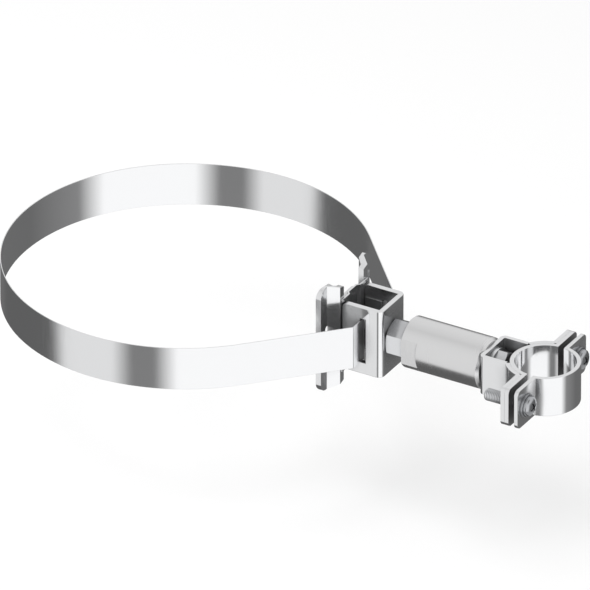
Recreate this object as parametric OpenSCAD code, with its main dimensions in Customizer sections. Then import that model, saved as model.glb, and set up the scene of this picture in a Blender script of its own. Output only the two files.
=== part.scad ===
// Band clamp for a round pole, with a spacer and a two-part pipe clip
// Origin: pole axis at the band's mid height, +X along the spacer, +Z up

/* [Band] */
// Radius of the pole that the band goes round
pole_r = 98.2; // [90:0.1:105]
// Width of the band
band_w = 25; // [20:1:26]
// Thickness of the band
band_t = 0.5; // [0.3:0.1:0.6]
// X of the pole side of the band where it enters the tension box
strap_x = 114.85; // [112:0.05:116]
// Y of the centre of the bend where the band turns to the tension box
strap_turn_y = 21.2; // [18:0.1:24]
// Inside radius of the bends in the band
strap_bend_r = 0.6; // [0.4:0.1:0.8]
// How far the loose band stands off the pole at its far side
band_slack = 1.7; // [0:0.1:2]
// X of the folded band ends inside the tension box
strap_tail_x = 104.6; // [104:0.1:110]

/* [Tension box] */
// Width of the box over its side walls
box_w = 26; // [25:0.5:28]
// Height of the box
box_h = 40; // [36:1:44]
// Thickness of the box sheet
box_t = 3; // [2.5:0.5:3]
// X of the open rear ends of the side walls
box_rear_x = 103.5; // [103.4:0.1:104]
// X of the outer face of the end wall
box_front_x = 127.5; // [126:0.5:130]
// Outside radius of the two upright corners
box_corner_r = 3.4; // [3.2:0.2:5]
// Radius on the rear top and bottom corners of the side walls
box_rear_r = 3; // [1:0.5:5]
// Length along X of the slot for the band in each side wall
slot_len = 3.3; // [2:0.1:4]
// Height of the slot for the band
slot_h = 26.6; // [26.4:0.2:30]

/* [Saddle] */
// Thickness of the saddle sheet
saddle_t = 3.2; // [3:0.1:3.3]
// X of the front face of the outer flats
saddle_flat_x = 97.95; // [97.9:0.05:98.4]
// Half of the saddle's width across the pole
saddle_half_w = 25.9; // [24:0.1:26]
// Half height of the wings
wing_half_h = 31.2; // [28:0.2:34]
// Radius of the outer corners of the wings
wing_corner_r = 5.5; // [4:0.5:9]
// Y of the bend between outer flat and ramp, on the front face
ramp_outer_y = 19.6; // [19:0.1:20]
// Rise of the ramp along X
ramp_rise = 5.15; // [5:0.05:5.2]
// Y of the inner ends of the wings
wing_inner_y = 10.45; // [10.2:0.05:11]
// Drop of the wing's inner corner below its full height
wing_inner_drop = 2.8; // [1:0.1:5]
// Half height of the web between the wings
web_half_h = 19; // [14:0.5:19]
// Depth of the dish in the middle of the web
dish_depth = 1.6; // [1:0.1:1.6]
// Half width of the flat bottom of the dish
dish_half_w = 4.5; // [4:0.1:5]
// Width of the long hole at each ramp
ramp_hole_w = 4.3; // [3:0.1:5]
// Height of the long hole at each ramp
ramp_hole_h = 14.6; // [10:0.2:20]
// Y of the centre of each long hole
ramp_hole_y = 19.15; // [18.5:0.05:19.5]

/* [Thrust plate] */
// Thickness of the thrust plate
plate_t = 1; // [0.8:0.1:1.2]
// Half height of the thrust plate
plate_half_h = 22; // [21.5:0.1:24]
// Half width of the ears above and below the box walls
ear_half_w = 13.8; // [12:0.1:14]

/* [Threaded parts] */
// Diameter of the stud
stud_d = 12; // [10:1:12]
// X of the stud's outer end, inside the spacer
stud_end_x = 153; // [148:1:158]
// Diameter of the plain point at the stud's inner end
point_d = 8; // [6:0.5:8]
// Length of that point
point_len = 4; // [3:0.5:5]
// Width across flats of the two nuts
nut_af = 18.6; // [18:0.1:19]
// Thickness of the nut inside the box
inner_nut_t = 10; // [8:0.5:11]
// Free radial gap in every threaded fit
thread_gap = 0.05; // [0.02:0.01:0.08]

/* [Spacer] */
// Diameter of the spacer
spacer_d = 28.5; // [26:0.5:30]
// X of the spacer's end at the lock nut
spacer_start_x = 136.6; // [134:0.2:138]
// X of the spacer's end at the bracket
spacer_end_x = 186.6; // [180:0.2:190]
// Width across the two wrench flats
wrench_af = 24; // [22:0.5:26]
// Length of the wrench flats
wrench_len = 10; // [8:0.5:12]
// Chamfer at the bracket end
spacer_chamfer = 1.5; // [0.5:0.1:2]

/* [Pipe clip] */
// Radius of the pipe in the clip
pipe_r = 16.5; // [16:0.1:17]
// X of the pipe axis
pipe_x = 219.85; // [219:0.05:221]
// Thickness of the clip sheet
clip_t = 2.4; // [2.2:0.1:2.5]
// Height of the clip strips
clip_h = 22.8; // [20:0.2:26]
// Gap between the flanges of the two shells
clip_gap = 3.3; // [2:0.1:5]
// Half length of the clip over its flanges
flange_half_l = 36.7; // [35:0.1:40]
// Radius of the flange corners
flange_corner_r = 3; // [1:0.5:5]
// Width of the bracket over its side walls
bracket_w = 26; // [25:0.5:27]
// Outside radius of the bracket's bends
bracket_corner_r = 3; // [2.6:0.2:4]

/* [Clip fasteners] */
// Diameter of the bolt between bracket and spacer
bolt_d = 10; // [8:1:10]
// Width across flats of its head
bolt_af = 17; // [13:0.5:17]
// Height of its head
bolt_head_h = 6.4; // [5:0.1:7]
// Length of its shank
bolt_len = 22; // [18:1:25]
// Diameter of the washer below its head
bolt_washer_d = 20; // [18:0.5:21]
// Thickness of that washer
bolt_washer_t = 2.4; // [2:0.1:3]
// Diameter of the two clamp screws
screw_d = 6.8; // [6:0.1:7]
// Y of the clamp screws
screw_y = 28.3; // [27:0.1:29]
// X of the free ends of the clamp screws
screw_end_x = 200.1; // [196:0.1:208]
// Diameter of the screw heads
screw_head_d = 11; // [10:0.1:12]
// Height of the screw heads
screw_head_h = 3.8; // [3:0.1:5]
// Diameter of the washers below the screw heads
screw_washer_d = 12.6; // [12:0.1:14]
// Thickness of those washers
screw_washer_t = 1.4; // [1:0.1:2]

/* [Hidden] */
$fn = 96;
eps = 0.01;
cut = 1;
seat_gap = 0.05;

polished = [0.82, 0.83, 0.85];
satin = [0.74, 0.74, 0.75];
zinc = [0.66, 0.68, 0.71];

// Band route: the bend centre beside the box, the angles where its straight runs start,
// and the angles between which the far side comes off the pole
turn_x = strap_x - strap_bend_r;
turn_dist = norm([turn_x, strap_turn_y]);
near_angle = atan2(strap_turn_y, turn_x) + acos((pole_r - strap_bend_r) / turn_dist);
far_angle = atan2(strap_turn_y, turn_x) + acos((pole_r + band_slack - strap_bend_r) / turn_dist);
slack_from = 125;
slack_full = 62;
box_in_y = box_w / 2 - box_t;
fold_y = box_in_y - seat_gap + strap_bend_r;

slot_x = strap_x - 0.45;
saddle_front_x = saddle_flat_x + ramp_rise;
ramp_inner_y = ramp_outer_y - ramp_rise;
dish_top_w = dish_half_w + dish_depth;
plate_back_x = saddle_front_x + seat_gap;
stud_start_x = plate_back_x - dish_depth + plate_t + seat_gap;
inner_nut_x = box_front_x - box_t - inner_nut_t - seat_gap;

flange_back_x = pipe_x - clip_gap / 2;
flange_front_x = pipe_x + clip_gap / 2;
shell_r = pipe_r + clip_t;
bracket_r = shell_r + seat_gap;
bracket_flange_x = flange_back_x - clip_t - seat_gap - clip_t;
bracket_front_x = spacer_end_x + clip_t;
bolt_seat_x = bracket_front_x + bolt_washer_t;
screw_seat_x = flange_front_x + clip_t + screw_washer_t;

// The points of a list in the other order
function reversed(points) = [for (i = [len(points) - 1 : -1 : 0]) points[i]];

// A line of points from the +Y end to the middle, carried on to the -Y end
function across(half) = concat(half, [for (p = reversed(half)) [p[0], -p[1]]]);

// Both sides of a shape that is symmetric in Y
module both_sides() {
    for (side = [0, 1]) mirror([0, side, 0]) children();
}

// A plan outline stood up to a height, centred on the middle plane
module stand(height) {
    linear_extrude(height, center = true) children();
}

// A front view outline, drawn in Y and Z, pushed along X from x_from to x_to
module push_x(x_from, x_to) {
    translate([x_from, 0, 0]) rotate([90, 0, 90]) linear_extrude(x_to - x_from) children();
}

// A round bar along X
module bar_x(diameter, x_from, x_to) {
    translate([x_from, 0, 0]) rotate([0, 90, 0]) cylinder(d = diameter, h = x_to - x_from);
}

// A sector of a ring in plan, between two angles less than half a turn apart
module ring_sector(r_in, r_out, a_from, a_to) {
    reach = 2 * r_out;
    mid = (a_from + a_to) / 2;
    intersection() {
        difference() {
            circle(r = r_out);
            circle(r = r_in);
        }
        polygon([[0, 0], reach * [cos(a_from), sin(a_from)], reach * [cos(mid), sin(mid)],
                 reach * [cos(a_to), sin(a_to)]]);
    }
}

// A long hole with round ends, upright in the front view
module long_hole(width, height) {
    straight = height - width;
    square([width, straight], center = true);
    for (end = [-1, 1]) translate([0, end * straight / 2]) circle(d = width, $fn = 48);
}

// A box outline in the front view with all four corners round
module round_box(half_w, half_h, r) {
    square([2 * half_w, 2 * (half_h - r)], center = true);
    square([2 * (half_w - r), 2 * half_h], center = true);
    for (sy = [-1, 1], sz = [-1, 1])
        translate([sy * (half_w - r), sz * (half_h - r)]) circle(r = r, $fn = 64);
}

// A hexagon nut or head along X with both edges chamfered where asked
module hex_x(af, x_from, x_to, chamfer_start, chamfer_end) {
    corner_d = 2 * af / sqrt(3);
    fall = (corner_d - 0.96 * af) / 2;
    drop = fall * tan(30);
    r_low = corner_d / 2 - fall;
    length = x_to - x_from;
    start_r = chamfer_start ? r_low : corner_d / 2 + cut;
    end_r = chamfer_end ? r_low : corner_d / 2 + cut;
    translate([x_from, 0, 0]) rotate([0, 90, 0]) intersection() {
        cylinder(d = corner_d, h = length, $fn = 6);
        rotate_extrude() polygon([[0, 0], [start_r, 0], [corner_d / 2 + eps, drop],
                                  [corner_d / 2 + eps, length - drop], [end_r, length], [0, length]]);
    }
}

// The points of an arc in plan
function arc(centre, r, a_from, a_to, steps = 8) =
    [for (i = [0 : steps]) let (a = a_from + (a_to - a_from) * i / steps) centre + r * [cos(a), sin(a)]];

// One face of a band end: bend beside the box, run through the slot, fold round its edge, and tail
function end_face(r, a) = concat(arc([turn_x, strap_turn_y], r, a, 0), arc([turn_x, fold_y], r, 0, -90),
                                 [[strap_tail_x, fold_y - r]]);

function polar(r, a) = r * [cos(a), sin(a)];

// How far the band stands off the pole at an angle of its far side
function slack_at(a) = let (t = max(0, min(1, (slack_from - a) / (slack_from - slack_full))))
    band_slack * t * t * (3 - 2 * t);

// One face of the band's loose stretch on the far side
function loose_face(r) = [for (i = [0 : 40]) let (a = slack_from + (far_angle - slack_from) * i / 40)
                          polar(r + slack_at(a), a)];

// The band: a circle round the pole, a loose stretch on the far side, and two ends folded into the box
// The ends lie a hair inside the circle's faces and overlap it, so that all faces cross cleanly
module band() {
    inset = 0.03;
    mid_r = pole_r + band_t / 2;
    inner_r = pole_r - inset;
    outer_r = inner_r + band_t;
    near_end = concat([polar(pole_r + band_t / 3, near_angle + 3), polar(inner_r, near_angle + 1)],
                      end_face(strap_bend_r, near_angle),
                      reversed(end_face(strap_bend_r + band_t, near_angle)), [polar(outer_r, near_angle)]);
    far_end = concat([polar(pole_r + band_t / 3, slack_from + 2)], loose_face(inner_r),
                     end_face(strap_bend_r, far_angle),
                     reversed(end_face(strap_bend_r + band_t, far_angle)), reversed(loose_face(outer_r)));
    color(polished) stand(band_w) {
        difference() {
            circle(r = pole_r + band_t, $fn = 240);
            circle(r = pole_r, $fn = 240);
            polygon([polar(pole_r - 1, slack_from - 3), polar(mid_r, slack_from - 3),
                     polar(mid_r, slack_from - 8), polar(2 * pole_r, slack_from - 8),
                     [2 * pole_r, 2 * pole_r], polar(2 * pole_r, 2.5 - near_angle),
                     polar(mid_r, 2.5 - near_angle), polar(mid_r, -near_angle),
                     polar(pole_r - 1, -near_angle)]);
        }
        polygon(far_end);
        polygon([for (p = reversed(near_end)) [p[0], -p[1]]]);
    }
}

// Plan outline of the tension box: a channel that opens towards the pole
module box_outline() {
    core_x = box_front_x - box_corner_r;
    core_y = box_w / 2 - box_corner_r;
    difference() {
        translate([box_rear_x, -box_w / 2]) square([box_front_x - box_rear_x, box_w]);
        translate([box_rear_x - cut, -box_in_y])
            square([box_front_x - box_t - box_rear_x + cut, 2 * box_in_y]);
        both_sides() translate([core_x, core_y]) difference() {
            square(box_corner_r + cut);
            circle(r = box_corner_r, $fn = 64);
        }
    }
}

// The tension box: a folded channel with a slot in each side wall and a hole for the stud
module tension_box() {
    color(polished) difference() {
        stand(box_h) box_outline();
        translate([slot_x, -box_w / 2 - cut, -slot_h / 2]) cube([slot_len, box_w + 2 * cut, slot_h]);
        bar_x(stud_d + 2 * thread_gap, box_front_x - box_t - cut, box_front_x + cut);
        for (top = [0, 1]) mirror([0, 0, top])
            translate([box_rear_x - cut, -box_w / 2 - cut, box_h / 2 - box_rear_r])
                difference() {
                    cube([box_rear_r + cut, box_w + 2 * cut, box_rear_r + cut]);
                    translate([box_rear_r + cut, -cut, 0])
                        rotate([-90, 0, 0]) cylinder(r = box_rear_r, h = box_w + 4 * cut);
                }
    }
}

// Plan outline of the saddle: outer flats, ramps, inner flats and dished web
module saddle_outline() {
    t = saddle_t;
    k = t * tan(22.5);
    x_in = saddle_front_x;
    x_dish = saddle_front_x - dish_depth;
    front = [[saddle_flat_x, saddle_half_w], [saddle_flat_x, ramp_outer_y], [x_in, ramp_inner_y],
             [x_in, dish_top_w], [x_dish, dish_half_w]];
    rear = [[saddle_flat_x - t, saddle_half_w], [saddle_flat_x - t, ramp_outer_y - k],
            [x_in - t, ramp_inner_y - k], [x_in - t, dish_top_w + k], [x_dish - t, dish_half_w + k]];
    polygon(concat(across(front), reversed(across(rear))));
}

// Front view outline of the saddle: two tall wings and a lower web between them
module saddle_front_outline() {
    difference() {
        round_box(saddle_half_w, wing_half_h, wing_corner_r);
        for (top = [0, 1]) mirror([0, top])
            polygon([[-wing_inner_y, web_half_h], [wing_inner_y, web_half_h],
                     [wing_inner_y, wing_half_h - wing_inner_drop],
                     [ramp_inner_y, wing_half_h], [ramp_inner_y, wing_half_h + cut],
                     [-ramp_inner_y, wing_half_h + cut], [-ramp_inner_y, wing_half_h],
                     [-wing_inner_y, wing_half_h - wing_inner_drop]]);
        for (side = [-1, 1]) translate([side * ramp_hole_y, 0]) long_hole(ramp_hole_w, ramp_hole_h);
    }
}

// The saddle that bears on the pole: one folded plate, its wings formed to the pole at the rear
module saddle() {
    color(polished) difference() {
        intersection() {
            stand(2 * wing_half_h + 2 * cut) saddle_outline();
            push_x(saddle_flat_x - saddle_t - 2 * cut, saddle_front_x + cut) saddle_front_outline();
        }
        cylinder(r = pole_r + seat_gap, h = 2 * wing_half_h + 4 * cut, center = true, $fn = 240);
    }
}

// Plan outline of the thrust plate, which follows the dish
module thrust_outline() {
    t = plate_t;
    k = t * tan(22.5);
    x_dish = plate_back_x - dish_depth;
    rear = [[plate_back_x, ear_half_w], [plate_back_x, dish_top_w], [x_dish, dish_half_w]];
    front = [[plate_back_x + t, ear_half_w], [plate_back_x + t, dish_top_w - k],
             [x_dish + t, dish_half_w - k]];
    polygon(concat(across(front), reversed(across(rear))));
}

// The thrust plate between stud and saddle, with ears that reach over the box walls
module thrust_plate() {
    clear = 0.3;
    notch_y = box_in_y - clear;
    notch_z = box_h / 2 + clear;
    color(polished) intersection() {
        stand(2 * plate_half_h) thrust_outline();
        push_x(plate_back_x - dish_depth - cut, plate_back_x + plate_t + cut) difference() {
            square([2 * ear_half_w, 2 * plate_half_h], center = true);
            for (side = [-1, 1]) translate([side * (notch_y + ear_half_w), 0])
                square([2 * ear_half_w, 2 * notch_z], center = true);
        }
    }
}

// A threaded rod along X at its full thread diameter, with both ends chamfered
module rod_x(diameter, x_from, x_to) {
    chamfer = diameter / 10;
    r = diameter / 2;
    length = x_to - x_from;
    translate([x_from, 0, 0]) rotate([0, 90, 0])
        rotate_extrude() polygon([[0, 0], [r - chamfer, 0], [r, chamfer], [r, length - chamfer],
                                  [r - chamfer, length], [0, length]]);
}

// The stud that pushes on the thrust plate and carries the spacer
module stud() {
    color(zinc) {
        bar_x(point_d, stud_start_x, stud_start_x + point_len + 1);
        rod_x(stud_d, stud_start_x + point_len, stud_end_x);
    }
}

// A nut on the stud
module stud_nut(x_from, x_to) {
    color(zinc) difference() {
        hex_x(nut_af, x_from, x_to, true, true);
        bar_x(stud_d + 2 * thread_gap, x_from - cut, x_to + cut);
    }
}

// The nut held between the side walls of the box
module inner_nut() {
    stud_nut(inner_nut_x, inner_nut_x + inner_nut_t);
}

// The nut that locks the stud between box and spacer
module lock_nut() {
    stud_nut(box_front_x, spacer_start_x);
}

// The spacer: a turned bar with two wrench flats and a threaded hole in each end
module spacer() {
    r = spacer_d / 2;
    length = spacer_end_x - spacer_start_x;
    edge = 0.4;
    color(satin) difference() {
        translate([spacer_start_x, 0, 0]) rotate([0, 90, 0])
            rotate_extrude() polygon([[0, 0], [r - edge, 0], [r, edge], [r, length - spacer_chamfer],
                                      [r - spacer_chamfer, length], [0, length]]);
        both_sides() translate([spacer_start_x - cut, wrench_af / 2, -spacer_d / 2 - cut])
            cube([wrench_len + cut, spacer_d, spacer_d + 2 * cut]);
        bar_x(stud_d + 2 * thread_gap, spacer_start_x - cut, stud_end_x + 2);
        bar_x(bolt_d + 2 * thread_gap, bolt_seat_x - bolt_len - 2, spacer_end_x + cut);
    }
}

// Plan outline of the bracket: a channel whose arms hug the rear shell and end in flanges
module bracket_outline() {
    half_w = bracket_w / 2;
    in_y = half_w - clip_t;
    in_r = bracket_corner_r - clip_t;
    core_x = spacer_end_x + bracket_corner_r;
    core_y = half_w - bracket_corner_r;
    flange_end = flange_back_x - clip_t - seat_gap;
    outer_r = bracket_r + clip_t;
    arm_angle = acos((pipe_x - bracket_flange_x) / outer_r);
    wall_angle = asin(half_w / outer_r);
    difference() {
        union() {
            translate([spacer_end_x, -core_y]) square([clip_t, 2 * core_y]);
            both_sides() {
                translate([core_x, core_y]) ring_sector(in_r, bracket_corner_r, 90, 180);
                translate([core_x, in_y]) square([pipe_x - outer_r * cos(wall_angle) - core_x, clip_t]);
                translate([pipe_x, 0])
                    ring_sector(bracket_r, outer_r, 180 - arm_angle - 2, 180 - wall_angle + 2);
                translate([bracket_flange_x, bracket_r])
                    square([clip_t, flange_half_l - bracket_r]);
            }
        }
        translate([pipe_x, 0]) circle(r = bracket_r, $fn = 160);
        translate([flange_end, -flange_half_l]) square([clip_t, 2 * flange_half_l]);
    }
}

// Front view outline shared by the flanged strips, with round outer corners and screw holes
module flange_view(hole_d) {
    difference() {
        round_box(flange_half_l, clip_h / 2, flange_corner_r);
        for (side = [-1, 1]) translate([side * screw_y, 0]) circle(d = hole_d);
    }
}

// The bracket: a channel on the spacer's end, tapped in its flanges for the clamp screws
module rear_bracket() {
    color(polished) difference() {
        intersection() {
            stand(clip_h) bracket_outline();
            push_x(spacer_end_x - cut, pipe_x) flange_view(screw_d + 2 * thread_gap);
        }
        bar_x(bolt_d + 0.6, spacer_end_x - cut, bracket_front_x + cut);
    }
}

// Plan outline of a half shell with its flanges, drawn on the spacer's side of the pipe
module shell_outline() {
    difference() {
        union() {
            translate([pipe_x, 0]) circle(r = shell_r, $fn = 160);
            translate([flange_back_x - clip_t, -flange_half_l]) square([clip_t, 2 * flange_half_l]);
        }
        translate([pipe_x, 0]) circle(r = pipe_r, $fn = 160);
        translate([flange_back_x, -flange_half_l - cut])
            square([2 * shell_r, 2 * flange_half_l + 2 * cut]);
    }
}

// The half shell between bracket and pipe
module rear_shell() {
    color(polished) intersection() {
        stand(clip_h) shell_outline();
        push_x(pipe_x - shell_r - cut, pipe_x) flange_view(screw_d + 2 * thread_gap);
    }
}

// The half shell in front of the pipe
module front_shell() {
    color(polished) intersection() {
        stand(clip_h) translate([2 * pipe_x, 0]) mirror([1, 0]) shell_outline();
        push_x(pipe_x, pipe_x + shell_r + cut) flange_view(screw_d + 0.6);
    }
}

// A washer along X on the middle plane
module washer_x(outer_d, inner_d, x_from, x_to) {
    color(zinc) difference() {
        bar_x(outer_d, x_from, x_to);
        bar_x(inner_d, x_from - cut, x_to + cut);
    }
}

// The washer below the bracket bolt
module bracket_washer() {
    washer_x(bolt_washer_d, bolt_d + 0.5, bracket_front_x, bolt_seat_x);
}

// The bolt that joins bracket and spacer
module bracket_bolt() {
    color(zinc) {
        hex_x(bolt_af, bolt_seat_x, bolt_seat_x + bolt_head_h, false, true);
        rod_x(bolt_d, bolt_seat_x - bolt_len, bolt_seat_x + 2);
    }
}

// A clamp screw on the middle plane: domed head with a cross recess, and a threaded shank
module clamp_screw() {
    chamfer = screw_d / 10;
    shank_r = screw_d / 2;
    head_r = screw_head_d / 2;
    shank_len = screw_seat_x - screw_end_x;
    rim_h = 1.2;
    dome_steps = 6;
    dome = [for (i = [0 : dome_steps]) let (a = 90 * i / dome_steps)
            [head_r * cos(a), shank_len + rim_h + (screw_head_h - rim_h) * sin(a)]];
    recess = 2.2;
    recess_w = 1.1;
    recess_l = 5.6;
    recess_x = screw_seat_x + screw_head_h - recess;
    color(zinc) difference() {
        translate([screw_end_x, 0, 0]) rotate([0, 90, 0])
            rotate_extrude() polygon(concat([[0, 0], [shank_r - chamfer, 0], [shank_r, chamfer],
                                             [shank_r, shank_len], [head_r, shank_len]], dome));
        for (turn = [20, 110]) rotate([turn, 0, 0])
            translate([recess_x, -recess_l / 2, -recess_w / 2]) cube([recess + cut, recess_l, recess_w]);
    }
}

module near_clamp_screw() {
    translate([0, -screw_y, 0]) clamp_screw();
}

module far_clamp_screw() {
    translate([0, screw_y, 0]) clamp_screw();
}

// The washer below the head of a clamp screw
module clamp_washer() {
    washer_x(screw_washer_d, screw_d + 0.4, flange_front_x + clip_t, screw_seat_x);
}

module near_screw_washer() {
    translate([0, -screw_y, 0]) clamp_washer();
}

module far_screw_washer() {
    translate([0, screw_y, 0]) clamp_washer();
}

band();
tension_box();
saddle();
thrust_plate();
stud();
inner_nut();
lock_nut();
spacer();
rear_bracket();
bracket_bolt();
bracket_washer();
rear_shell();
front_shell();
near_clamp_screw();
far_clamp_screw();
near_screw_washer();
far_screw_washer();
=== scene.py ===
"""Looks of a band clamp for a round pole: polished band, saddle and tension box,
a turned spacer, and a two-part pipe clip on its end."""

import math

import bpy
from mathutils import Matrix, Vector


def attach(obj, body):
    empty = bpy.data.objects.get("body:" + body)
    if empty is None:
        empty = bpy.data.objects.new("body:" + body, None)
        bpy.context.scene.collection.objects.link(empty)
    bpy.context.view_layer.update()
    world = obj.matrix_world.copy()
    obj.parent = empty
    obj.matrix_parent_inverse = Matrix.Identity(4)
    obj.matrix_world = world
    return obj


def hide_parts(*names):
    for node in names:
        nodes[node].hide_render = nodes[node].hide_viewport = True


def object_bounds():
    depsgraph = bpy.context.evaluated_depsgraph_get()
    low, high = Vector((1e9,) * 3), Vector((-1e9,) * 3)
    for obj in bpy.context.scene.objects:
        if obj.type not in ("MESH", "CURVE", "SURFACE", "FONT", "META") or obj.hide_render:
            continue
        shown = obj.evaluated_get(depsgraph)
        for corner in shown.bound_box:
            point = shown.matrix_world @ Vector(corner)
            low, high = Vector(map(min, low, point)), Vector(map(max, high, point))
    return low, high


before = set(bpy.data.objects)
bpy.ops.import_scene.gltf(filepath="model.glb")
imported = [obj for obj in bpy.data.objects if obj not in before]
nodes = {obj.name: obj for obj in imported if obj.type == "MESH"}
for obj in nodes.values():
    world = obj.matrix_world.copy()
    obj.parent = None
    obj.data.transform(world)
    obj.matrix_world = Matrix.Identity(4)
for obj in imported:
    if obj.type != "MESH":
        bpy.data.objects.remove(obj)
cad_lo, cad_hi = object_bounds()
# Sizes below are in millimetres, and are multiplied by this where Blender takes them
MM = 0.001


# ---- Camera, at the photograph's angle ----

VIEW_AZIMUTH = math.radians(30)
VIEW_ELEVATION = math.radians(30)
FRAME_WIDTH = 313.8
AIM_X = 1.2
AIM_RIGHT = 57.13
AIM_DOWN = 9.95
LENS = 1500
SENSOR = 36
toward_viewer = Vector((math.sin(VIEW_AZIMUTH) * math.cos(VIEW_ELEVATION),
                        -math.cos(VIEW_AZIMUTH) * math.cos(VIEW_ELEVATION),
                        math.sin(VIEW_ELEVATION)))
view_right = Vector((math.cos(VIEW_AZIMUTH), math.sin(VIEW_AZIMUTH), 0))
view_up = toward_viewer.cross(view_right)


def make_camera():
    """A very long lens, because the photograph shows hardly any perspective."""
    aim = Vector((AIM_X * MM, 0, 0)) + view_right * AIM_RIGHT * MM - view_up * AIM_DOWN * MM
    bpy.ops.object.camera_add(location=aim + toward_viewer * FRAME_WIDTH * MM * LENS / SENSOR)
    camera = bpy.context.object
    camera.name = "photo_camera"
    camera.rotation_euler = (-toward_viewer).to_track_quat("-Z", "Y").to_euler()
    camera.data.lens = LENS
    camera.data.sensor_width = SENSOR
    camera.data.clip_start = 1
    camera.data.clip_end = 40
    bpy.context.scene.camera = camera


# ---- Node helpers ----

def add_node(tree, kind, **values):
    """Adds a shader node; each value goes to the setting or the input of that name."""
    node = tree.nodes.new(kind)
    for name, value in values.items():
        if hasattr(node, name):
            setattr(node, name, value)
        else:
            node.inputs[name.replace("_", " ")].default_value = value
    return node


def add_range(tree, value, start, end, **settings):
    """Adds a Map Range node that takes a value from start..end to 0..1."""
    node = add_node(tree, "ShaderNodeMapRange", From_Min=start, From_Max=end, **settings)
    tree.links.new(value, node.inputs["Value"])
    return node


def add_mix(tree, factor, first, second):
    """Adds a colour Mix node. The first colour comes from a node, the second may be plain."""
    node = add_node(tree, "ShaderNodeMix", data_type="RGBA")
    tree.links.new(factor, node.inputs["Factor"])
    tree.links.new(first, node.inputs["A"])
    if isinstance(second, tuple):
        node.inputs["B"].default_value = second
    else:
        tree.links.new(second, node.inputs["B"])
    return node


def fill_ramp(ramp, stops):
    """Sets a colour ramp to grey values at the given places."""
    elements = ramp.color_ramp.elements
    while len(elements) > 1:
        elements.remove(elements[-1])
    elements[0].position = stops[0][0]
    elements[0].color = (stops[0][1],) * 3 + (1,)
    for place, grey in stops[1:]:
        elements.new(place).color = (grey,) * 3 + (1,)


# ---- Studio ----

# Grey of the cards by compass angle, from -180 degrees (0) to 180 degrees (1). Below eye level:
# a pale card, a narrow dark one, a white one, a wide dark one and the start of the pale one again
LOW_CARDS = ((0.0, 0.8), (0.205, 0.8), (0.24, 0.22), (0.28, 0.22), (0.32, 1.05), (0.48, 1.05),
             (0.53, 0.25), (0.65, 0.15), (0.95, 0.15), (0.975, 0.8))
HIGH_CARDS = ((0.0, 0.62), (0.16, 0.78), (0.45, 0.95), (0.60, 0.80), (0.83, 0.78), (0.95, 0.70))
# Heights, as the Z of a direction, between which the low cards give way to the high ones
EYE_LEVEL = (-0.12, 0.22)
# Round cards over those, as direction, cosine at which the rim starts and ends, and grey: a grey
# ground, a dark card high on the right, and a darker one low on the left
ROUND_CARDS = (((0, 0, -1), 0.58, 0.68, 0.50),
               ((0.5, -0.1, 0.86), 0.86, 0.95, 0.35),
               ((-0.45, 0, -0.89), 0.74, 0.80, 0.12))
FLOOR_DROP = 60
FLOOR_GREY = 0.8
# Added to the floor for the camera only, so that it shows nearly white around its shadow
FLOOR_LIFT = 0.18


def make_world():
    """Pale cards with dark cards between them, seen only by the metal; the camera sees white."""
    world = bpy.data.worlds.new("studio")
    bpy.context.scene.world = world
    world.use_nodes = True
    tree = world.node_tree
    tree.nodes.clear()
    link = tree.links.new
    place = add_node(tree, "ShaderNodeTexCoord")
    split = add_node(tree, "ShaderNodeSeparateXYZ")
    link(place.outputs["Generated"], split.inputs[0])
    turn = add_node(tree, "ShaderNodeMath", operation="ARCTAN2")
    link(split.outputs["Y"], turn.inputs[0])
    link(split.outputs["X"], turn.inputs[1])
    compass = add_range(tree, turn.outputs[0], -math.pi, math.pi)
    low = add_node(tree, "ShaderNodeValToRGB")
    high = add_node(tree, "ShaderNodeValToRGB")
    for ramp, stops in ((low, LOW_CARDS), (high, HIGH_CARDS)):
        fill_ramp(ramp, stops)
        link(compass.outputs[0], ramp.inputs[0])
    level = add_range(tree, split.outputs["Z"], *EYE_LEVEL, interpolation_type="SMOOTHSTEP")
    seen = add_mix(tree, level.outputs[0], low.outputs[0], high.outputs[0]).outputs["Result"]
    for aim, rim_from, rim_to, grey in ROUND_CARDS:
        near = add_node(tree, "ShaderNodeVectorMath", operation="DOT_PRODUCT")
        near.inputs[1].default_value = aim
        link(place.outputs["Generated"], near.inputs[0])
        part = add_range(tree, near.outputs["Value"], rim_from, rim_to,
                         interpolation_type="SMOOTHSTEP")
        seen = add_mix(tree, part.outputs[0], seen, (grey, grey, grey, 1)).outputs["Result"]
    studio = add_node(tree, "ShaderNodeBackground")
    link(seen, studio.inputs["Color"])
    white = add_node(tree, "ShaderNodeBackground", Color=(1, 1, 1, 1))
    path = add_node(tree, "ShaderNodeLightPath")
    choose = add_node(tree, "ShaderNodeMixShader")
    link(path.outputs["Is Camera Ray"], choose.inputs[0])
    link(studio.outputs[0], choose.inputs[1])
    link(white.outputs[0], choose.inputs[2])
    out = add_node(tree, "ShaderNodeOutputWorld")
    link(choose.outputs[0], out.inputs["Surface"])


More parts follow.
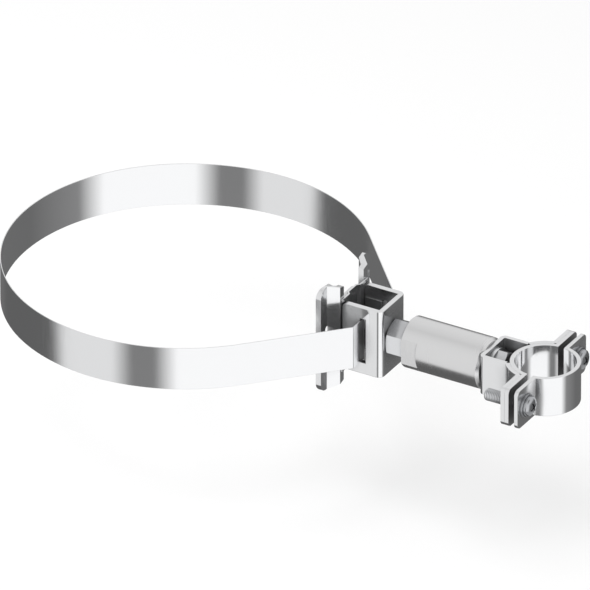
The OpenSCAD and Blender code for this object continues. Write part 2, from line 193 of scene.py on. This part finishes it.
def make_floor():
    """A pale floor below the clamp. It takes the shadow, and the metal sees the cards instead."""
    bpy.ops.mesh.primitive_plane_add(size=4, location=(0.1, 0, cad_lo.z - FLOOR_DROP * MM))
    floor = bpy.context.object
    floor.name = "floor"
    floor.visible_glossy = False
    material = bpy.data.materials.new("pale_floor")
    material.use_nodes = True
    tree = material.node_tree
    tree.nodes.clear()
    link = tree.links.new
    matt = add_node(tree, "ShaderNodeBsdfDiffuse", Color=(FLOOR_GREY,) * 3 + (1,))
    glow = add_node(tree, "ShaderNodeEmission", Color=(1, 1, 1, 1))
    path = add_node(tree, "ShaderNodeLightPath")
    lift = add_node(tree, "ShaderNodeMath", operation="MULTIPLY")
    lift.inputs[1].default_value = FLOOR_LIFT
    link(path.outputs["Is Camera Ray"], lift.inputs[0])
    link(lift.outputs[0], glow.inputs["Strength"])
    both = add_node(tree, "ShaderNodeAddShader")
    link(matt.outputs[0], both.inputs[0])
    link(glow.outputs[0], both.inputs[1])
    out = add_node(tree, "ShaderNodeOutputMaterial")
    link(both.outputs[0], out.inputs["Surface"])
    floor.data.materials.append(material)


def make_lamps():
    """One wide soft lamp overhead for the shadow, and a weak one from the left."""
    target = Vector((0.08, 0, 0))
    for name, place, size, power in (("top_lamp", (0.0, -0.3, 1.4), 1.2, 9),
                                     ("side_lamp", (-1.2, -0.9, 0.8), 0.9, 4)):
        bpy.ops.object.light_add(type="AREA", location=place)
        lamp = bpy.context.object
        lamp.name = name
        lamp.data.size = size
        lamp.data.energy = power
        lamp.visible_glossy = False
        lamp.rotation_euler = (target - lamp.location).to_track_quat("-Z", "Y").to_euler()


# ---- Finishes ----

# Share of the fine marks in a metal's roughness; the rest is slow cloudiness
MARKS_SHARE = 0.6
# Painted shade: part of its colour that a metal keeps deep inside, by ambient occlusion, and its
# roughness there
PAINTED_RECESS_SHADE = 0.5
RECESS_ROUGHNESS = 0.45
RELIEF_HEIGHT = 0.02


def make_group(name, inputs, outputs):
    """An empty node group with float sockets; returns its tree and its input and output nodes."""
    tree = bpy.data.node_groups.new(name, "ShaderNodeTree")
    for socket, value in inputs:
        made = tree.interface.new_socket(socket, in_out="INPUT", socket_type="NodeSocketFloat")
        made.default_value = value
    for socket in outputs:
        tree.interface.new_socket(socket, in_out="OUTPUT", socket_type="NodeSocketFloat")
    return tree, add_node(tree, "NodeGroupInput"), add_node(tree, "NodeGroupOutput")


def make_grain_group():
    """Fine marks drawn out along one direction, and slow cloudiness, from Object coordinates."""
    tree, given, result = make_group("metal_grain", (("Scale", 400.0), ("Low", 0.1), ("High", 0.2)),
                                     ("Roughness", "Height"))
    tree.interface.new_socket("Stretch", in_out="INPUT", socket_type="NodeSocketVector")
    link = tree.links.new
    place = add_node(tree, "ShaderNodeTexCoord")
    drawn = add_node(tree, "ShaderNodeVectorMath", operation="MULTIPLY")
    link(place.outputs["Object"], drawn.inputs[0])
    link(given.outputs["Stretch"], drawn.inputs[1])
    marks = add_node(tree, "ShaderNodeTexNoise", Detail=4.0, Roughness=0.6)
    link(drawn.outputs[0], marks.inputs["Vector"])
    link(given.outputs["Scale"], marks.inputs["Scale"])
    cloud = add_node(tree, "ShaderNodeTexNoise", Scale=45.0, Detail=2.0)
    link(place.outputs["Object"], cloud.inputs["Vector"])
    soft = add_node(tree, "ShaderNodeMath", operation="MULTIPLY")
    soft.inputs[1].default_value = 1 - MARKS_SHARE
    link(cloud.outputs["Fac"], soft.inputs[0])
    blend = add_node(tree, "ShaderNodeMath", operation="MULTIPLY_ADD")
    blend.inputs[1].default_value = MARKS_SHARE
    link(marks.outputs["Fac"], blend.inputs[0])
    link(soft.outputs[0], blend.inputs[2])
    spread = add_range(tree, blend.outputs[0], 0.35, 0.65)
    link(given.outputs["Low"], spread.inputs["To Min"])
    link(given.outputs["High"], spread.inputs["To Max"])
    link(spread.outputs[0], result.inputs["Roughness"])
    link(marks.outputs["Fac"], result.inputs["Height"])


def make_wear_group():
    """A mask that is 1 along worn edges, broken up by noise."""
    tree, given, result = make_group("edge_wear", (("Width", 0.0004),), ("Mask",))
    link = tree.links.new
    round_edge = add_node(tree, "ShaderNodeBevel", samples=4)
    link(given.outputs["Width"], round_edge.inputs["Radius"])
    flat = add_node(tree, "ShaderNodeNewGeometry")
    match = add_node(tree, "ShaderNodeVectorMath", operation="DOT_PRODUCT")
    link(round_edge.outputs[0], match.inputs[0])
    link(flat.outputs["Normal"], match.inputs[1])
    edge = add_range(tree, match.outputs["Value"], 0.995, 0.90)
    place = add_node(tree, "ShaderNodeTexCoord")
    chips = add_node(tree, "ShaderNodeTexNoise", Scale=350.0, Detail=3.0)
    link(place.outputs["Object"], chips.inputs["Vector"])
    broken = add_node(tree, "ShaderNodeMath", operation="MULTIPLY")
    link(edge.outputs[0], broken.inputs[0])
    link(chips.outputs["Fac"], broken.inputs[1])
    link(broken.outputs[0], result.inputs["Mask"])


def make_recess_group():
    """A mask from ambient occlusion that is 1 deep inside folds, boxes and holes; it paints shade into
    the colour there.
    """
    tree, given, result = make_group("recess", (("Reach", 0.02),), ("Mask",))
    open_sky = add_node(tree, "ShaderNodeAmbientOcclusion", samples=16)
    tree.links.new(given.outputs["Reach"], open_sky.inputs["Distance"])
    # Painted shade: the occlusion becomes a mask for a darker colour
    painted_shade_range = add_range(tree, open_sky.outputs["AO"], 0.85, 0.45)
    tree.links.new(painted_shade_range.outputs[0], result.inputs["Mask"])


def make_metal(name, shade, worn_shade, stretch, scale, low, high, bump):
    """Bare metal: a grain for its roughness and relief, paler worn edges, and painted shade that darkens
    recesses.
    """
    material = bpy.data.materials.new(name)
    material.use_nodes = True
    tree = material.node_tree
    link = tree.links.new
    steel = tree.nodes["Principled BSDF"]
    steel.inputs["Metallic"].default_value = 1.0
    grain, wear, recess = (add_node(tree, "ShaderNodeGroup", node_tree=bpy.data.node_groups[group])
                           for group in ("metal_grain", "edge_wear", "recess"))
    for socket, value in (("Stretch", stretch), ("Scale", scale), ("Low", low), ("High", high)):
        grain.inputs[socket].default_value = value
    tint = add_node(tree, "ShaderNodeMix", data_type="RGBA")
    tint.inputs["A"].default_value = shade
    tint.inputs["B"].default_value = worn_shade
    link(wear.outputs["Mask"], tint.inputs["Factor"])
    # Painted shade: deep inside, the colour falls to a share of itself, by the occlusion mask
    painted_deep_shade = tuple(PAINTED_RECESS_SHADE * part for part in shade[:3]) + (1,)
    painted_shade_mix = add_mix(tree, recess.outputs["Mask"], tint.outputs["Result"], painted_deep_shade)
    link(painted_shade_mix.outputs["Result"], steel.inputs["Base Color"])
    dull = add_node(tree, "ShaderNodeMix", data_type="FLOAT")
    dull.inputs["B"].default_value = RECESS_ROUGHNESS
    link(recess.outputs["Mask"], dull.inputs["Factor"])
    link(grain.outputs["Roughness"], dull.inputs["A"])
    link(dull.outputs["Result"], steel.inputs["Roughness"])
    relief = add_node(tree, "ShaderNodeBump", Strength=bump, Distance=RELIEF_HEIGHT * MM)
    link(grain.outputs["Height"], relief.inputs["Height"])
    link(relief.outputs[0], steel.inputs["Normal"])
    return material


# ---- Steps that several pieces share ----

def apply_modifier(piece, kind, **values):
    """Adds a modifier with the given settings and applies it."""
    change = piece.modifiers.new("change", kind)
    for name, value in values.items():
        setattr(change, name, value)
    bpy.ops.object.modifier_apply(modifier=change.name)


def finish_piece(piece, material, replaced):
    """Last steps: a material, the root to ride on, and hiding the CAD node that it stands for."""
    piece.data.materials.clear()
    piece.data.materials.append(material)
    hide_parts(replaced)
    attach(piece, "root")


# ---- Pieces that keep their CAD form, with soft edges ----

def move_part(piece, inside, offset):
    """Moves the vertices whose place, in millimetres, passes a test."""
    bpy.ops.object.mode_set(mode="EDIT")
    bpy.ops.mesh.select_all(action="DESELECT")
    bpy.ops.object.mode_set(mode="OBJECT")
    for vertex in piece.data.vertices:
        vertex.select = inside(*(vertex.co / MM))
    bpy.ops.object.mode_set(mode="EDIT")
    bpy.ops.transform.translate(value=[part * MM for part in offset])
    bpy.ops.object.mode_set(mode="OBJECT")


def rounded_copy(node, edge, material, moves=()):
    """A copy of a CAD node: its triangles merged, parts of it moved, its sharp edges rounded."""
    bpy.ops.object.select_all(action="DESELECT")
    piece = nodes[node].copy()
    piece.data = nodes[node].data.copy()
    piece.name = node + "_soft"
    # The copy comes with the frame's marks, which belong to the CAD node alone
    for key in list(piece.keys()):
        del piece[key]
    piece.parent = None
    bpy.context.scene.collection.objects.link(piece)
    bpy.context.view_layer.objects.active = piece
    piece.select_set(True)
    bpy.ops.object.mode_set(mode="EDIT")
    bpy.ops.mesh.select_all(action="SELECT")
    bpy.ops.mesh.remove_doubles(threshold=0.002 * MM)
    bpy.ops.mesh.customdata_custom_splitnormals_clear()
    bpy.ops.mesh.dissolve_limited(angle_limit=math.radians(0.3))
    bpy.ops.object.mode_set(mode="OBJECT")
    for inside, offset in moves:
        move_part(piece, inside, offset)
    if edge:
        apply_modifier(piece, "BEVEL", width=edge * MM, segments=2, limit_method="ANGLE",
                       angle_limit=math.radians(28))
    bpy.ops.object.shade_smooth_by_angle(angle=math.radians(40))
    apply_modifier(piece, "WEIGHTED_NORMAL", keep_sharp=True)
    finish_piece(piece, material, node)
    return piece


def wing_slopes():
    """Moves that let the top and bottom edges of a wing fall evenly from the outer to the inner bend."""
    moves = []
    for place, drop in ((14.45, 1.58), (13.12, 1.05)):
        for side in (1, -1):
            def inside(x, y, z, place=place, side=side):
                return abs(abs(y) - place) < 0.1 and side * z > 29.5
            moves.append((inside, (0, 0, -side * drop)))
    return moves


# ---- The band, drawn out of one upright edge along its route ----

POLE_R = 98.2
# The bend beside the box, round which the band turns off the pole: its centre, for the +Y side
TURN = (114.25, 21.2)
# The fold round the slot's edge: its centre, across
FOLD_Y = 10.55
BEND_R = 0.85
TAIL_X = 104.6
BAND_T = 0.5
BAND_W = 25
RIM_ROUND = 0.1
# The far side is loose: it stands SLACK off the pole, from one angle to the other fading to none
SLACK = 1.7
SLACK_FULL = 62
SLACK_FROM = 125
SLACK_STEPS = 40
CIRCLE_STEPS = 88


def on_circle(centre, radius, degrees):
    """The point of a circle at an angle."""
    angle = math.radians(degrees)
    return (centre[0] + radius * math.cos(angle), centre[1] + radius * math.sin(angle))


def leaving_angle(radius):
    """Where a straight run to the bend beside the box leaves a circle round the pole."""
    return math.degrees(math.atan2(TURN[1], TURN[0])
                        + math.acos((radius - BEND_R) / math.hypot(*TURN)))


def box_end(angle):
    """From the tail inside the box round the slot's edge and the bend, for the +Y side."""
    return ([(TAIL_X, FOLD_Y - BEND_R)]
            + [on_circle((TURN[0], FOLD_Y), BEND_R, a) for a in range(-90, 1, 10)]
            + [on_circle(TURN, BEND_R, angle * i / 8) for i in range(9)])


def band_route():
    """Middle line of the band in plan: the loose far side, the circle, and the near end."""
    middle = POLE_R + BAND_T / 2
    far, near = leaving_angle(middle + SLACK), leaving_angle(middle)
    route = box_end(far)
    for i in range(SLACK_STEPS + 1):
        angle = far + (SLACK_FROM - far) * i / SLACK_STEPS
        share = max(0, min(1, (SLACK_FROM - angle) / (SLACK_FROM - SLACK_FULL)))
        route.append(on_circle((0, 0), middle + SLACK * share * share * (3 - 2 * share), angle))
    for i in range(1, CIRCLE_STEPS + 1):
        angle = SLACK_FROM + (360 - SLACK_FROM - near) * i / CIRCLE_STEPS
        route.append(on_circle((0, 0), middle, angle))
    return route + [(x, -y) for x, y in reversed(box_end(near))]


def make_band():
    """One upright edge extruded along the route, thickened, with its rims eased."""
    route = [(x * MM, y * MM) for x, y in band_route()]
    bpy.ops.object.select_all(action="DESELECT")
    bpy.ops.mesh.primitive_plane_add(size=BAND_W * MM, location=(route[0][0], route[0][1], 0),
                                     rotation=(math.radians(90), 0, 0))
    bpy.ops.object.transform_apply(location=True, rotation=True, scale=True)
    band = bpy.context.object
    band.name = "band_strip"
    # One upright edge of the plane is kept and brought to the route's start
    bpy.ops.object.mode_set(mode="EDIT")
    bpy.ops.mesh.select_all(action="DESELECT")
    bpy.ops.object.mode_set(mode="OBJECT")
    for vertex in band.data.vertices:
        vertex.select = vertex.co.x > route[0][0]
    bpy.ops.object.mode_set(mode="EDIT")
    bpy.ops.mesh.delete(type="VERT")
    bpy.ops.mesh.select_all(action="SELECT")
    bpy.ops.transform.translate(value=(BAND_W * MM / 2, 0, 0))
    for (x0, y0), (x1, y1) in zip(route, route[1:]):
        bpy.ops.mesh.extrude_region_move(TRANSFORM_OT_translate={"value": (x1 - x0, y1 - y0, 0)})
    bpy.ops.mesh.select_all(action="SELECT")
    bpy.ops.mesh.normals_make_consistent(inside=False)
    bpy.ops.object.mode_set(mode="OBJECT")
    apply_modifier(band, "SOLIDIFY", thickness=BAND_T * MM, offset=0, use_even_offset=True)
    apply_modifier(band, "BEVEL", width=RIM_ROUND * MM, segments=2, limit_method="ANGLE",
                   angle_limit=math.radians(50))
    bpy.ops.object.shade_smooth_by_angle(angle=math.radians(45))
    apply_modifier(band, "WEIGHTED_NORMAL", keep_sharp=True)
    finish_piece(band, polished_sheet, "band")


# ---- Threads, cut into the rods with a helical groove ----

# Depth of the groove as a share of the pitch, and how far its cutter stands out of the rod
THREAD_DEPTH = 0.55
CUTTER_PROUD = 0.15
THREAD_STEPS = 28


def cut_thread(piece, radius, pitch, y, x_from, x_to):
    """Cuts a 60 degree groove round a rod along X that lies at the given Y."""
    depth = THREAD_DEPTH * pitch
    half = (depth + CUTTER_PROUD) * math.tan(math.radians(30))
    turns = math.ceil((x_to - x_from) / pitch)
    bpy.ops.object.select_all(action="DESELECT")
    bpy.ops.mesh.primitive_circle_add(vertices=3, radius=1, fill_type="NGON",
                                      rotation=(math.radians(90), 0, 0))
    groove = bpy.context.object
    bpy.ops.object.transform_apply(location=True, rotation=True, scale=True)
    corners = ((-half, radius + CUTTER_PROUD), (half, radius + CUTTER_PROUD), (0, radius - depth))
    for vertex, (along, out) in zip(groove.data.vertices, corners):
        vertex.co = Vector((along * MM, 0, out * MM))
    bpy.ops.object.mode_set(mode="EDIT")
    bpy.ops.mesh.select_all(action="SELECT")
    bpy.ops.mesh.delete(type="ONLY_FACE")
    bpy.ops.object.mode_set(mode="OBJECT")
    apply_modifier(groove, "SCREW", axis="X", angle=2 * math.pi, screw_offset=pitch * MM,
                   iterations=turns, steps=THREAD_STEPS, render_steps=THREAD_STEPS,
                   use_merge_vertices=False)
    # The cutter's two open ends are closed, and it is brought to its place
    bpy.ops.object.mode_set(mode="EDIT")
    bpy.ops.mesh.select_all(action="DESELECT")
    bpy.ops.mesh.select_non_manifold()
    bpy.ops.mesh.edge_face_add()
    bpy.ops.mesh.select_all(action="SELECT")
    bpy.ops.mesh.normals_make_consistent(inside=False)
    bpy.ops.transform.translate(value=(x_from * MM, y * MM, 0))
    bpy.ops.object.mode_set(mode="OBJECT")
    bpy.ops.object.select_all(action="DESELECT")
    bpy.context.view_layer.objects.active = piece
    piece.select_set(True)
    apply_modifier(piece, "BOOLEAN", operation="DIFFERENCE", object=groove, solver="EXACT")
    bpy.data.objects.remove(groove)
    bpy.ops.object.shade_smooth_by_angle(angle=math.radians(25))


# ---- The scene ----

make_camera()
make_world()
make_floor()
make_lamps()
make_grain_group()
make_wear_group()
make_recess_group()

# Colour, worn colour, stretch and scale of the grain, roughness from and to, and relief
polished_sheet = make_metal("polished_sheet", (0.90, 0.905, 0.915, 1), (0.97, 0.97, 0.97, 1),
                            (1, 1, 0.08), 900, 0.07, 0.13, 0.15)
turned_bar = make_metal("turned_bar", (0.84, 0.84, 0.845, 1), (0.93, 0.93, 0.93, 1),
                        (1, 0.05, 0.05), 2500, 0.20, 0.28, 0.15)
zinc_plated = make_metal("zinc_plated", (0.86, 0.87, 0.89, 1), (0.94, 0.94, 0.94, 1),
                         (1, 1, 1), 700, 0.06, 0.13, 0.15)
# A darker copy of the zinc finish for the clamp screws' heads and washers: painted shade
painted_shade_screw_steel = make_metal("painted_shade_screw_steel", (0.52, 0.53, 0.55, 1), (0.75, 0.75, 0.76, 1),
                         (1, 1, 1), 700, 0.12, 0.22, 0.2)

make_band()
rounded_copy("saddle", 0.35, polished_sheet, wing_slopes())
for name, edge in (("tension_box", 0.35), ("thrust_plate", 0.2), ("rear_bracket", 0.04),
                   ("rear_shell", 0.04), ("front_shell", 0.3)):
    rounded_copy(name, edge, polished_sheet)

# The lock nut is thicker than its solid by this, and the spacer starts that much further out
NUT_EXTRA = 2.2
rounded_copy("spacer", 0.3, turned_bar,
             [(lambda x, y, z: x < 148, (NUT_EXTRA, 0, 0))])
rounded_copy("lock_nut", 0.15, zinc_plated,
             [(lambda x, y, z: x > 132, (NUT_EXTRA, 0, 0))])
for name, material in (("inner_nut", zinc_plated), ("bracket_washer", zinc_plated),
                       ("near_screw_washer", painted_shade_screw_steel), ("far_screw_washer", painted_shade_screw_steel)):
    rounded_copy(name, 0.15, material)

# Rods: finish, edge, and the thread's radius, pitch, place across, start and end
for name, material, edge, radius, pitch, y, x_from, x_to in (
        ("stud", zinc_plated, 0, 6, 1.75, 0, 106, 153),
        ("bracket_bolt", zinc_plated, 0, 5, 1.5, 0, 167.6, 187),
        ("near_clamp_screw", painted_shade_screw_steel, 0.08, 3.4, 1, -28.3, 199.5, 218),
        ("far_clamp_screw", painted_shade_screw_steel, 0.08, 3.4, 1, 28.3, 199.5, 218)):
    rod = rounded_copy(name, edge, material)
    cut_thread(rod, radius, pitch, y, x_from, x_to)
    # A clamp screw's threaded length keeps the plain zinc finish; its head keeps the darker copy, which
    # is painted shade
    if material == painted_shade_screw_steel:
        rod.data.materials.append(zinc_plated)
        for face in rod.data.polygons:
            face.material_index = int(face.center.x < x_to * MM)

# The CAD nodes are hidden by the pieces above, and carry a finish too
for name, node in nodes.items():
    node.data.materials.clear()
    node.data.materials.append(polished_sheet)

bpy.context.scene.view_settings.view_transform = "Standard"
